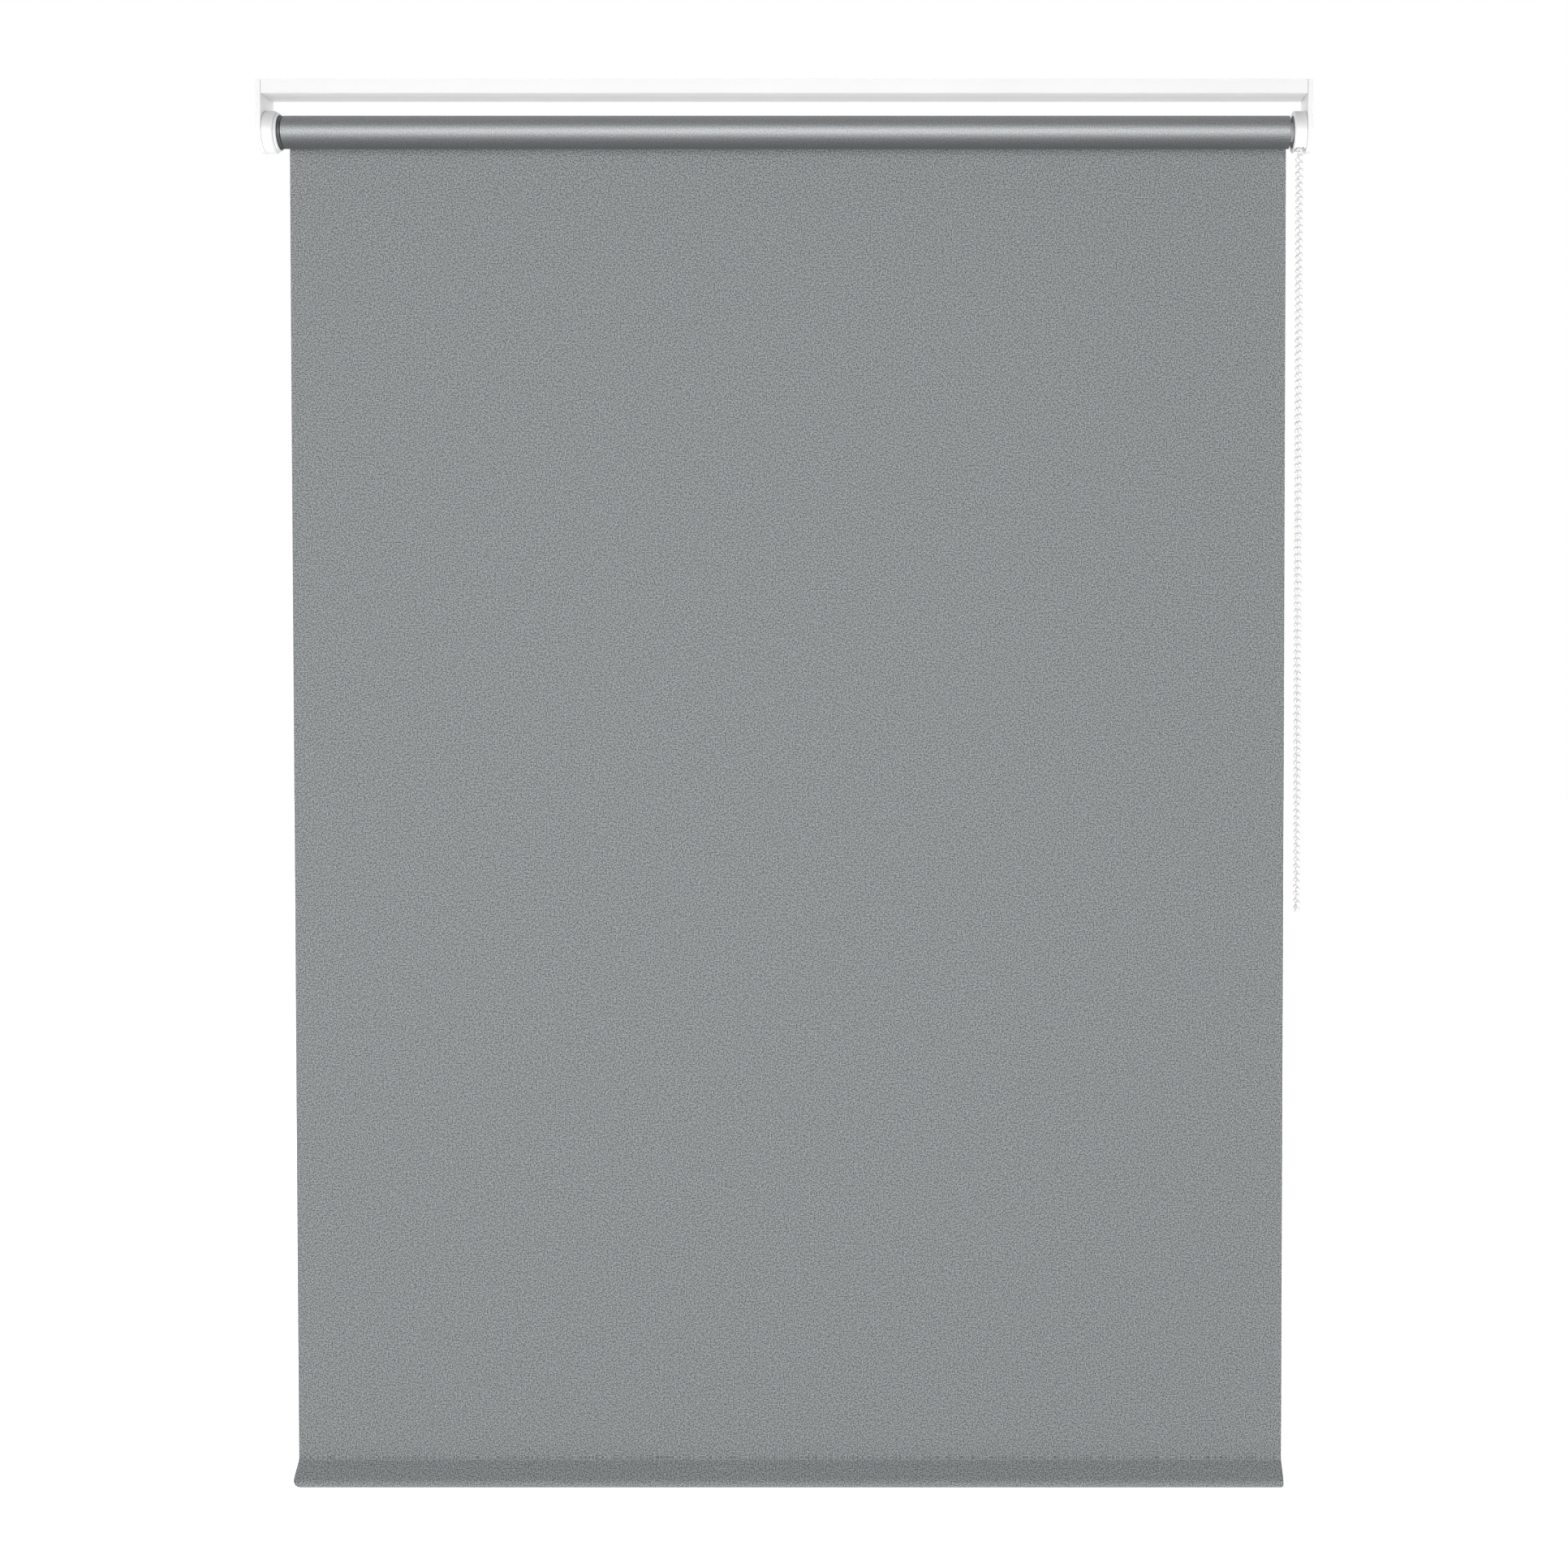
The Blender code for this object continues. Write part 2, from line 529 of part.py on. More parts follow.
    wheel_radius = CHAIN_RADIUS + BEAD_RADIUS / 4
    groove = CHAIN_THREAD_RADIUS + GAP
    sprocket = piece("sprocket", turned([
        (DISC_LEFT, spindle_hole), (DISC_LEFT, DISC_RADIUS), (DISC_RIGHT, DISC_RADIUS),
        (DISC_RIGHT, wheel_radius), (CHAIN_X - groove, wheel_radius), (CHAIN_X - groove, CHAIN_RADIUS - groove),
        (CHAIN_X + groove, CHAIN_RADIUS - groove), (CHAIN_X + groove, wheel_radius),
        (SPROCKET_RIGHT, wheel_radius), (SPROCKET_RIGHT, spindle_hole),
    ], 32), DARK_PLASTIC, roller)
    for i in range(SPROCKET_POCKETS):
        angle = 2 * math.pi * i / SPROCKET_POCKETS
        pocket = bmesh.new()
        bmesh.ops.create_icosphere(pocket, subdivisions=2, radius=POCKET_RADIUS)
        offset = (CHAIN_X, CHAIN_RADIUS * math.cos(angle), CHAIN_RADIUS * math.sin(angle))
        bmesh.ops.translate(pocket, verts=pocket.verts, vec=offset)
        cut(sprocket, pocket, roller, f"pocket_{i}")

    beads_over = SPROCKET_POCKETS // 2
    wire("chain_on_sprocket", *beaded_arc(beads_over), CHAIN_MATERIAL, roller, 1, bead_radii(beads_over))

    coil_radius = SPINDLE_RADIUS + GAP + CLUTCH_WIRE / 2 + RUNNING_FIT / 2
    spare = CORE_RIGHT - CORE_FRONT_WALL - CORE_LEFT - 2 * CLUTCH_SPRING_LENGTH
    for i, name in enumerate(("clutch_spring_inner", "clutch_spring_outer")):
        left = CORE_LEFT + spare / 3 + i * (CLUTCH_SPRING_LENGTH + spare / 3)
        wire(name, coil(left, CLUTCH_SPRING_LENGTH, coil_radius, CLUTCH_SPRING_TURNS), CLUTCH_WIRE / 2,
             STEEL, roller)


BEAD_STEPS = 8  # points along one pitch of the beaded chain
BEAD_CAP = 0.92  # where the last bead's cap starts, as a share of its radius


def beaded_arc(pitches):
    """Points over the top of the sprocket, and the wire radius that bead_radii scales."""
    count = pitches * BEAD_STEPS
    ends = math.asin(BEAD_CAP * BEAD_RADIUS / CHAIN_RADIUS)
    angles = [-ends] + [math.pi * i / count for i in range(count + 1)] + [math.pi + ends]
    return [(CHAIN_X, CHAIN_RADIUS * math.cos(a), CHAIN_RADIUS * math.sin(a)) for a in angles], BEAD_RADIUS


def bead_radii(pitches):
    """Share of the bead's radius at each point: full on a bead, thin on the thread between two."""
    thread = CHAIN_THREAD_RADIUS / BEAD_RADIUS
    shares = []
    for i in range(pitches * BEAD_STEPS + 1):
        along = (i % BEAD_STEPS) / BEAD_STEPS
        away = min(along, 1 - along) * BEAD_PITCH / BEAD_RADIUS
        shares.append(max(thread, math.sqrt(max(0.0, 1 - away**2))))
    return [thread, *shares, thread]


def build_roller(roller):
    """The tube with its flat, the fixing strip on the flat, and the layers that stay on the tube."""
    steps = 40
    flat = TUBE_RADIUS - TUBE_FLAT_DEPTH
    circle = [(math.cos(2 * math.pi * i / steps), math.sin(2 * math.pi * i / steps)) for i in range(steps)]
    outer = [(TUBE_RADIUS * y, min(TUBE_RADIUS * z, flat)) for y, z in circle]
    inner = [((TUBE_RADIUS - TUBE_WALL) * y, (TUBE_RADIUS - TUBE_WALL) * z) for y, z in circle]
    piece("roller_tube", hollow_prism(outer, inner, TUBE_LEFT, TUBE_RIGHT), STEEL, roller)
    strip = box(FABRIC_LEFT + STRIP_END_MARGIN, TUBE_RIGHT - STRIP_END_MARGIN, -STRIP_WIDTH / 2, STRIP_WIDTH / 2,
                flat + GAP, flat + GAP + STRIP_THICKNESS)
    piece("fixing_strip", strip, DARK_PLASTIC, roller)
    piece("fabric_wraps", turned([
        (FABRIC_LEFT, WRAP_INNER), (FABRIC_LEFT, ROLL_RADIUS), (FABRIC_RIGHT, ROLL_RADIUS),
        (FABRIC_RIGHT, WRAP_INNER),
    ], 40), FABRIC_REVERSE, roller)


def build_sheet(head):
    """The sheet leaves the rear of the roll, so its matte side faces the room."""
    sheet = box(FABRIC_LEFT, FABRIC_RIGHT, SHEET_FRONT, SHEET_REAR, POCKET_TOP + GAP, SHEET_TOP)
    piece("fabric_sheet", sheet, FABRIC_MATTE, head)


def build_hem(hem):
    """The pocket folded round a hollow bar, with a cap in each end of the bar."""
    inside = POCKET_RADIUS_OUT - FABRIC
    bar_radius = inside - GAP
    bar_top = POCKET_TOP - BAR_TOP_MARGIN
    pocket_void_top = POCKET_TOP - POCKET_VOID_MARGIN
    bore_radius = bar_radius - BAR_WALL
    bore_top = bar_top - BAR_WALL
    pocket = hollow_prism(teardrop(POCKET_RADIUS_OUT, POCKET_TOP), teardrop(inside, pocket_void_top),
                          FABRIC_LEFT, FABRIC_RIGHT)
    piece("hem_pocket", pocket, FABRIC_MATTE, hem)
    left = FABRIC_LEFT + BAR_END_MARGIN + CAP_HEAD + GAP
    right = FABRIC_RIGHT - BAR_END_MARGIN - CAP_HEAD - GAP
    bar = hollow_prism(teardrop(bar_radius, bar_top), teardrop(bore_radius, bore_top), left, right)
    piece("bottom_bar", bar, ALUMINIUM, hem)
    head_outline = teardrop(bar_radius, bar_top)
    spigot_outline = teardrop(bore_radius - GAP, bore_top - 2 * GAP)
    for name, bar_end, out in (("bar_cap_left", left, -1), ("bar_cap_right", right, 1)):
        near = bar_end + out * GAP
        far = near + out * CAP_HEAD
        cap = piece(name, prism(head_outline, min(near, far), max(near, far)), DARK_PLASTIC, hem)
        inner_end = bar_end - out * CAP_SPIGOT
        middle = (near + far) / 2
        join(cap, prism(spigot_outline, min(inner_end, middle), max(inner_end, middle)), hem, "spigot")


# The chain's free loop, as (y from the roller's axis, depth below CHAIN_TOP). Its two sides hang close together.
CHAIN_ROUTE = [
    (-CHAIN_RADIUS, 0.000), (-0.00765, 0.060), (-0.00745, 0.140), (-0.00725, 0.240), (-0.00710, 0.340),
    (-0.00700, 0.440), (-0.00695, 0.530), (-0.00695, 0.600), (-0.00700, 0.628), (-0.00700, 0.6420),
    (-0.00640, 0.6503), (-0.00400, 0.6543), (0.00000, 0.6555), (0.00400, 0.6543), (0.00640, 0.6503),
    (0.00700, 0.6420), (0.00700, 0.628), (0.00695, 0.600), (0.00695, 0.530), (0.00700, 0.440),
    (0.00710, 0.340), (0.00725, 0.240), (0.00745, 0.140), (0.00765, 0.060), (CHAIN_RADIUS, 0.000),
]
CHAIN_POINT_SPACING = 0.0168


def build_chain(swing):
    points = smooth_route([(0.0, y, -depth) for y, depth in CHAIN_ROUTE], CHAIN_POINT_SPACING)
    wire("pull_chain", points, BEAD_RADIUS, CHAIN_MATERIAL, swing, 2)


for old in list(bpy.data.objects):
    bpy.data.objects.remove(old)

WHITE_METAL = finish_of("white_metal", (0.86, 0.86, 0.86), 0.35)
WHITE_PLASTIC = finish_of("white_plastic", (0.86, 0.86, 0.86), 0.4)
DARK_PLASTIC = finish_of("dark_plastic", (0.07, 0.075, 0.078), 0.5)
CHAIN_MATERIAL = finish_of("chain_plastic", (0.88, 0.88, 0.88), 0.3)
STEEL = finish_of("steel", (0.6, 0.6, 0.6), 0.35, 1.0)
ALUMINIUM = finish_of("aluminium", (0.75, 0.75, 0.76), 0.4, 1.0)
FABRIC_MATTE = finish_of("fabric_matte", (0.26, 0.28, 0.28), 0.9)
FABRIC_REVERSE = finish_of("fabric_reverse", (0.22, 0.24, 0.25), 0.4, 0.6)

HEAD = empty("head", (0, 0, 0))
HEAD_AXIS = empty("head_axis", (0, 0, -AXIS_DROP), HEAD)
ROLLER = empty("roller", (0, 0, -AXIS_DROP), HEAD)
PIN = empty("pin", (0, 0, 0), ROLLER)
HEM = empty("hem", (0, 0, 0), HEAD)
SWING = empty("chain_swing", (CHAIN_X, 0, CHAIN_TOP), HEAD)

build_head_rail(HEAD)
IDLE_BRACKET = build_bracket("idle_bracket", -1, HEAD)
DRIVE_BRACKET = build_bracket("drive_bracket", 1, HEAD)
build_bracket_screw("idle_bracket_screw", -1, HEAD)
build_bracket_screw("drive_bracket_screw", 1, HEAD)
build_clip("mounting_clip_left", -INNER + CLIP_INSET, HEAD)
build_clip("mounting_clip_middle", 0, HEAD)
build_clip("mounting_clip_right", INNER - CLIP_INSET, HEAD)
build_idle_side(HEAD_AXIS, IDLE_BRACKET, ROLLER, PIN)
build_drive_side(HEAD_AXIS, DRIVE_BRACKET, ROLLER)
build_roller(ROLLER)
build_sheet(HEAD)
build_hem(HEM)
build_chain(SWING)
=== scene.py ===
"""Looks of the chain-operated roller blind: cloth, chain, mouldings, finishes, light and camera.

Units are metres. +Z is up, the room is on the -Y side, and the chain hangs on the +X side.
"""

import json
import math
import random

import bmesh
import bpy
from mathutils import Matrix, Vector


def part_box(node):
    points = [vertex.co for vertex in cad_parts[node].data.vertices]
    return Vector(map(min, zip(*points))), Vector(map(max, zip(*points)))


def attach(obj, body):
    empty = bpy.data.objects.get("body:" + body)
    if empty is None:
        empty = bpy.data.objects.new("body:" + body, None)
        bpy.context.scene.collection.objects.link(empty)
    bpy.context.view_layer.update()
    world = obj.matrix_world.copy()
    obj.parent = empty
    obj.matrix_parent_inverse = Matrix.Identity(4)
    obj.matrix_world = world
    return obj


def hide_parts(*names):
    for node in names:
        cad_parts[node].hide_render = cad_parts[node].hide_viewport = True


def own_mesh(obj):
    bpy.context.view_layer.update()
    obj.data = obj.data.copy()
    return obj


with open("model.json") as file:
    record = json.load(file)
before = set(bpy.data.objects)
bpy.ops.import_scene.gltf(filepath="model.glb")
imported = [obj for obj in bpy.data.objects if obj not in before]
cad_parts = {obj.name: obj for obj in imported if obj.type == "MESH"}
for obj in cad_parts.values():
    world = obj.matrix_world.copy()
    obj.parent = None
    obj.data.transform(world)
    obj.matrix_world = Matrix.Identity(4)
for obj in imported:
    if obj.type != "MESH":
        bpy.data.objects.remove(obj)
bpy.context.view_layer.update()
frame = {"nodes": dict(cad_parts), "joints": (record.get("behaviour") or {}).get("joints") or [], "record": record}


def joint_place(name):
    joint = next(joint for joint in frame["joints"] if joint["name"] == name)
    return Vector(joint["pos_m"])


# Cloth
CLOTH = 0.00032  # thickness of one layer
LAYERS_LEFT = 4.4  # layers on the tube with the blind lowered
LEAD_ANGLE = math.radians(12)  # how far the hanging cloth still follows the roll
HEM_ROUND = 0.0055  # radius of the hem's underside
WELD_DROP = 0.0022  # height of the weld that closes the pocket
HEM_FLARE = (0.0018, 0.0006)  # how far the pocket's ends stand out, idle side and chain side
HEM_CORNER = (0.0090, 0.0040)  # rounding of the pocket's lower corners
HEM_END_REACH = 0.03  # how far in from its ends the pocket is shaped
HEM_FLARE_SHARE = 0.7  # part of the pocket's height over which the flare grows
HEM_BULGE = 0.00018  # how far the pocket's front swells
SHEET_RIPPLE = 0.0004  # height of the hanging cloth's slow unevenness
EDGE_CURL = 0.0005  # how far the side edges curl towards the room
EDGE_CURL_WIDTH = 0.010  # distance over which the curl falls to about a third
EDGE_COLUMN = 0.0003  # width of the outermost column of faces along a cut edge
EDGE_WANDER = 0.0002  # unevenness of the roll's two ends
ROLL_END_REACH = 0.001  # how far in from its ends the roll is uneven
LEAD_GAP = 0.00005  # keeps the hanging cloth's end off the roll

# Bead chain
BEAD_RADIUS = 0.00225
BEAD_PITCH = 0.0060
THREAD_RADIUS = 0.00075
WHEEL_THREAD_STEPS = 24
SPROCKET_POCKETS = 8
CHAIN_RADIUS = BEAD_PITCH / (2 * math.sin(math.pi / SPROCKET_POCKETS))
CHAIN_ROUTE = [  # y from the roller's axis, depth below the chain's top
    (-CHAIN_RADIUS, 0.000), (-0.00765, 0.060), (-0.00745, 0.140), (-0.00725, 0.240), (-0.00710, 0.340),
    (-0.00700, 0.440), (-0.00695, 0.530), (-0.00695, 0.600), (-0.00700, 0.628), (-0.00700, 0.6420),
    (-0.00640, 0.6503), (-0.00400, 0.6543), (0.00000, 0.6555), (0.00400, 0.6543), (0.00640, 0.6503),
    (0.00700, 0.6420), (0.00700, 0.628), (0.00695, 0.600), (0.00695, 0.530), (0.00700, 0.440),
    (0.00710, 0.340), (0.00725, 0.240), (0.00745, 0.140), (0.00765, 0.060), (CHAIN_RADIUS, 0.000),
]

# Raised ring on the idle drum's face
RING_INNER = 0.0146
RING_LIP = 0.0007
RING_OUTER = 0.0164
RING_RISE = 0.0022
RING_ROUNDING = 0.0002

# Copies of CAD solids
MERGE_DISTANCE = 2e-6
FLAT_TURN = math.radians(0.6)  # faces that turn less than this become one
SHARP_TURN = math.radians(40)  # edges that turn more than this are rounded

# Places that the frame gives
AXIS = joint_place("roller_turn")
CHAIN_TOP = joint_place("chain_swing")
ROLL_LEFT, ROLL_RIGHT = (corner[0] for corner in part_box("fabric_wraps"))
ROLL_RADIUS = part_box("fabric_wraps")[1][1]
HEM_BOTTOM, HEM_TOP = (corner[2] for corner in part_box("hem_pocket"))
SHEET_MIDDLE = ROLL_RADIUS - CLOTH / 2  # the hanging cloth's middle plane, from the axis

# Camera
CAMERA_PLACE = (0.1338, -1.818, -0.3992)
CAMERA_PITCH = math.radians(1.3)
CAMERA_LENS = 48.32
CAMERA_SHIFT = (-0.1004, -0.120)

# Studio: a pale screen behind the blind, a darker room in front, a wide softbox and a strip of light
FLOOR_COLOUR = (0.92, 0.92, 0.92)
FLOOR_MIRRORED = (0.28, 0.28, 0.28)  # what shiny faces see of the floor
FLOOR_GLOW = 0.65  # light that the floor sends up
FLOOR_SEEN_GLOW = 0.6  # brings the floor that the camera sees up to the background
FLOOR_HALF = 6.0
FLOOR_DROP = 0.12  # from the hem to the floor
ROOM_LIGHT = 0.12
SCREEN_LIGHT = 1.3
SCREEN_EDGE = 0.7  # where the room ends and the screen begins, as Y of the direction
KEY_PLACE = (-0.28, -2.6, -0.12)
KEY_SIZE = (3.4, 1.7)
KEY_POWER = 42
STRIP_PLACE = (0.05, -2.5, -0.12)
STRIP_SIZE = (4.4, 0.6)
STRIP_POWER = 58  # seen in shiny faces only

# Effects: each pair is the range of a noise or slope that is stretched to 0..1
FLECKS = (0.36, 0.64)
SLUBS = (0.34, 0.66)
SLUB_DRAWING = (((0.12, 1.0, 1.0), 900.0), ((1.0, 0.10, 1.0), 800.0))  # stretch and scale of each set
SLUB_SHARE = 0.2  # of the cloth's colour that comes from slubs, the rest from flecks
# painted shade in the gaps between the threads: its share of the colour and how dark it goes
THREAD_GAP_SHADE = 0.35
THREAD_GAP_SHADE_TONE = 0.72
TONES = (0.3, 0.7)
EDGE_TURNS = (0.01, 0.16)
EDGE_BREAKS = (0.35, 0.6)
EDGE_SHARE = 0.5
UPWARD = (0.55, 0.95)
DUST_PATCHES = (0.35, 0.7)
DUST_COLOUR = (0.55, 0.53, 0.50)


# Meshes


def placed(name, mesh, materials, body, replaces=(), flat_angle=35):
    """Makes a bmesh an object that rides a body, with smooth round sides and the given finishes."""
    data = bpy.data.meshes.new(name)
    mesh.to_mesh(data)
    mesh.free()
    for material in materials:
        data.materials.append(material)
    data.shade_smooth()
    data.set_sharp_from_angle(angle=math.radians(flat_angle))
    obj = bpy.data.objects.new(name, data)
    return joined_in(obj, body, replaces)


def joined_in(obj, body, replaces=()):
    bpy.context.scene.collection.objects.link(obj)
    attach(obj, body)
    if replaces:
        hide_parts(*replaces)
    return obj


def arc(centre, radius, start, end, steps):
    """Points on an arc, angles in degrees, ends included."""
    angles = [math.radians(start + (end - start) * i / steps) for i in range(steps + 1)]
    return [(centre[0] + radius * math.cos(a), centre[1] + radius * math.sin(a)) for a in angles]


def soften(mesh, width):
    """Rounds every sharp edge of a closed mesh."""
    sharp = [e for e in mesh.edges if len(e.link_faces) == 2 and e.calc_face_angle() > SHARP_TURN]
    bmesh.ops.bevel(
        mesh, geom=sharp, offset=width, segments=2, affect="EDGES", profile=0.5, material=-1,
        clamp_overlap=True,
    )


def turned(profile, steps=72):
    """A closed (x, radius) profile turned about the roller's axis."""
    mesh = bmesh.new()
    points = [mesh.verts.new((x, radius, 0)) for x, radius in profile]
    edges = [mesh.edges.new(pair) for pair in zip(points, points[1:] + points[:1])]
    bmesh.ops.spin(
        mesh, geom=points + edges, cent=(0, 0, 0), axis=(1, 0, 0), angle=2 * math.pi, steps=steps,
        use_merge=True,
    )
    bmesh.ops.remove_doubles(mesh, verts=mesh.verts, dist=1e-6)
    bmesh.ops.recalc_face_normals(mesh, faces=mesh.faces)
    bmesh.ops.translate(mesh, verts=mesh.verts, vec=AXIS)
    return mesh


def rounded(corners, radius, steps=4):
    """A closed profile with each corner turned into a small curve."""
    points = []
    count = len(corners)
    for i, corner in enumerate(corners):
        here = Vector(corner)
        before = Vector(corners[i - 1]) - here
        after = Vector(corners[(i + 1) % count]) - here
        reach = min(radius, before.length / 2.2, after.length / 2.2)
        start = here + before.normalized() * reach
        end = here + after.normalized() * reach
        for step in range(steps + 1):
            t = step / steps
            points.append(tuple(start * (1 - t) ** 2 + here * 2 * t * (1 - t) + end * t**2))
    return points


def refined(node, name, material, body, width=0.0):
    """A merged, smooth-shaded and softened copy of a CAD solid, which stands for it."""
    mesh = bmesh.new()
    mesh.from_mesh(frame["nodes"][node].data)
    bmesh.ops.remove_doubles(mesh, verts=mesh.verts, dist=MERGE_DISTANCE)
    bmesh.ops.dissolve_limit(
        mesh, angle_limit=FLAT_TURN, verts=mesh.verts, edges=mesh.edges, use_dissolve_boundaries=False
    )
    if width:
        soften(mesh, width)
    obj = placed(name, mesh, [material], body, [node])
    flat = obj.modifiers.new("flat_faces", "WEIGHTED_NORMAL")
    flat.keep_sharp = True
    return obj


def ribbon(path, left, right, columns):
    """Cloth that follows a (y, z) path and runs along X, with a UV map in metres.

    A narrow column at each side keeps the cut edge's shading off the open cloth.
    """
    open_width = right - left - 2 * EDGE_COLUMN
    inner = [left + EDGE_COLUMN + open_width * i / columns for i in range(columns + 1)]
    stations = [left, *inner, right]
    mesh = bmesh.new()
    along = mesh.verts.layers.float.new("along")
    length = 0.0
    points = []
    for i, (y, z) in enumerate(path):
        if i:
            length += math.dist(path[i - 1], path[i])
        point = mesh.verts.new((left, y, z))
        point[along] = length
        points.append(point)
    edges = [mesh.edges.new(pair) for pair in zip(points, points[1:])]
    for here, there in zip(stations, stations[1:]):
        made = bmesh.ops.extrude_edge_only(mesh, edges=edges)["geom"]
        moved = [v for v in made if isinstance(v, bmesh.types.BMVert)]
        edges = [e for e in made if isinstance(e, bmesh.types.BMEdge)]
        bmesh.ops.translate(mesh, verts=moved, vec=(there - here, 0, 0))
    uv = mesh.loops.layers.uv.new("cloth")
    for face in mesh.faces:
        for loop in face.loops:
            loop[uv].uv = (loop.vert.co.x, loop.vert[along])
    return mesh


def facing(mesh, direction):
    """Turns all faces of a ribbon so that the start of its path looks in the given direction."""
    along = mesh.verts.layers.float["along"]
    first = min(mesh.faces, key=lambda face: sum(point[along] for point in face.verts))
    first.normal_update()
    if first.normal.dot(Vector(direction)) < 0:
        bmesh.ops.reverse_faces(mesh, faces=mesh.faces)
    return mesh


def thicken(obj):
    """Gives a cloth its thickness about its middle plane, with its second finish on the far side."""
    solid = obj.modifiers.new("thickness", "SOLIDIFY")
    solid.thickness = CLOTH
    solid.offset = 0
    solid.material_offset = 1
    solid.use_even_offset = True


# Effects that several finishes share


def node(tree, kind, inputs=None, **settings):
    """A shader node; each input is a value or the socket that feeds it."""
    made = tree.nodes.new(kind)
    for key, value in settings.items():
        setattr(made, key, value)
    for key, value in (inputs or {}).items():
        if isinstance(value, bpy.types.NodeSocket):
            tree.links.new(value, made.inputs[key])
        else:
            made.inputs[key].default_value = value
    return made


def maths(tree, operation, first, second=0.0, third=0.0):
    return node(tree, "ShaderNodeMath", {0: first, 1: second, 2: third}, operation=operation).outputs[0]


def effect(name, inputs, outputs):
    """An empty shader group; inputs are name: (kind, value) and outputs are name: kind."""
    group = bpy.data.node_groups.new(name, "ShaderNodeTree")
    for key, (kind, value) in inputs.items():
        socket = group.interface.new_socket(key, in_out="INPUT", socket_type=f"NodeSocket{kind}")
        if value is not None:
            socket.default_value = value
    for key, kind in outputs.items():
        group.interface.new_socket(key, in_out="OUTPUT", socket_type=f"NodeSocket{kind}")
    given = group.nodes.new("NodeGroupInput").outputs
    result = group.nodes.new("NodeGroupOutput").inputs
    return group, given, result


def use(tree, group, inputs=None):
    return node(tree, "ShaderNodeGroup", inputs, node_tree=group).outputs


def noise(tree, vector, scale, detail=2.0, roughness=0.5):
    inputs = {"Vector": vector, "Scale": scale, "Detail": detail, "Roughness": roughness}
    return node(tree, "ShaderNodeTexNoise", inputs).outputs["Fac"]


def spread_out(tree, value, low, high):
    """Stretches a narrow range of a value to 0..1."""
    return node(
        tree, "ShaderNodeMapRange", {"Value": value, "From Min": low, "From Max": high}, clamp=True
    ).outputs["Result"]


def woven_effect():
    """Plain weave with flecks and slubs; Across is the cloth's own map, in metres."""
    group, given, result = effect(
        "woven_cloth",
        {"Across": ("Vector", None), "Pitch": ("Float", 0.0005), "Fleck Size": ("Float", 0.0011)},
        {"Height": "Float", "Fleck": "Float", "Slub": "Float"},
    )
    apart = node(group, "ShaderNodeSeparateXYZ", {0: given["Across"]})
    waves = []
    for axis in ("X", "Y"):
        turns = maths(group, "DIVIDE", apart.outputs[axis], given["Pitch"])
        waves.append(maths(group, "SINE", maths(group, "MULTIPLY", turns, math.pi)))
    crossing = maths(group, "MULTIPLY", waves[0], waves[1])
    group.links.new(maths(group, "MULTIPLY_ADD", crossing, 0.5, 0.5), result["Height"])

    fleck_scale = maths(group, "DIVIDE", 1.0, given["Fleck Size"])
    fleck = noise(group, given["Across"], fleck_scale, 1.0, 0.6)
    group.links.new(spread_out(group, fleck, *FLECKS), result["Fleck"])

    slubs = []
    for stretch, scale in SLUB_DRAWING:
        drawn = node(group, "ShaderNodeVectorMath", {0: given["Across"], 1: stretch}, operation="MULTIPLY")
        slubs.append(noise(group, drawn.outputs[0], scale, 1.0))
    both = maths(group, "MULTIPLY", maths(group, "ADD", slubs[0], slubs[1]), 0.5)
    group.links.new(spread_out(group, both, *SLUBS), result["Slub"])
    return group


def grain_effect():
    """Fine moulded or sprayed grain, and a slow change of tone over the surface."""
    group, given, result = effect(
        "fine_grain",
        {"Size": ("Float", 0.0012), "Tone Size": ("Float", 0.08)},
        {"Height": "Float", "Tone": "Float"},
    )
    place = node(group, "ShaderNodeTexCoord").outputs["Object"]
    group.links.new(noise(group, place, maths(group, "DIVIDE", 1.0, given["Size"]), 3.0), result["Height"])
    slow = noise(group, place, maths(group, "DIVIDE", 1.0, given["Tone Size"]), 2.0)
    group.links.new(spread_out(group, slow, *TONES), result["Tone"])
    return group


def edge_effect():
    """Up to 1 on edges, broken up by grain, and 0 on open faces."""
    group, given, result = effect("edge_wear", {"Width": ("Float", 0.0008)}, {"Mask": "Float"})
    rounded_normal = node(group, "ShaderNodeBevel", {"Radius": given["Width"]}, samples=4).outputs["Normal"]
    face_normal = node(group, "ShaderNodeNewGeometry").outputs["Normal"]
    same = node(group, "ShaderNodeVectorMath", {0: rounded_normal, 1: face_normal}, operation="DOT_PRODUCT")
    turn = maths(group, "SUBTRACT", 1.0, same.outputs["Value"])
    place = node(group, "ShaderNodeTexCoord").outputs["Object"]
    broken = spread_out(group, noise(group, place, 260.0, 3.0), *EDGE_BREAKS)
    group.links.new(maths(group, "MULTIPLY", spread_out(group, turn, *EDGE_TURNS), broken), result["Mask"])
    return group


def dust_effect():
    """A thin layer of dust on faces that look up."""
    group, given, result = effect("dust_on_top", {"Amount": ("Float", 0.5)}, {"Mask": "Float"})
    normal = node(group, "ShaderNodeNewGeometry").outputs["Normal"]
    up = node(group, "ShaderNodeSeparateXYZ", {0: normal}).outputs["Z"]
    place = node(group, "ShaderNodeTexCoord").outputs["Object"]
    patches = spread_out(group, noise(group, place, 90.0, 5.0, 0.65), *DUST_PATCHES)
    lying = maths(group, "MULTIPLY", spread_out(group, up, *UPWARD), patches)
    group.links.new(maths(group, "MULTIPLY", lying, given["Amount"]), result["Mask"])
    return group


WOVEN = woven_effect()
GRAIN = grain_effect()
EDGES = edge_effect()
DUST = dust_effect()


# Finishes


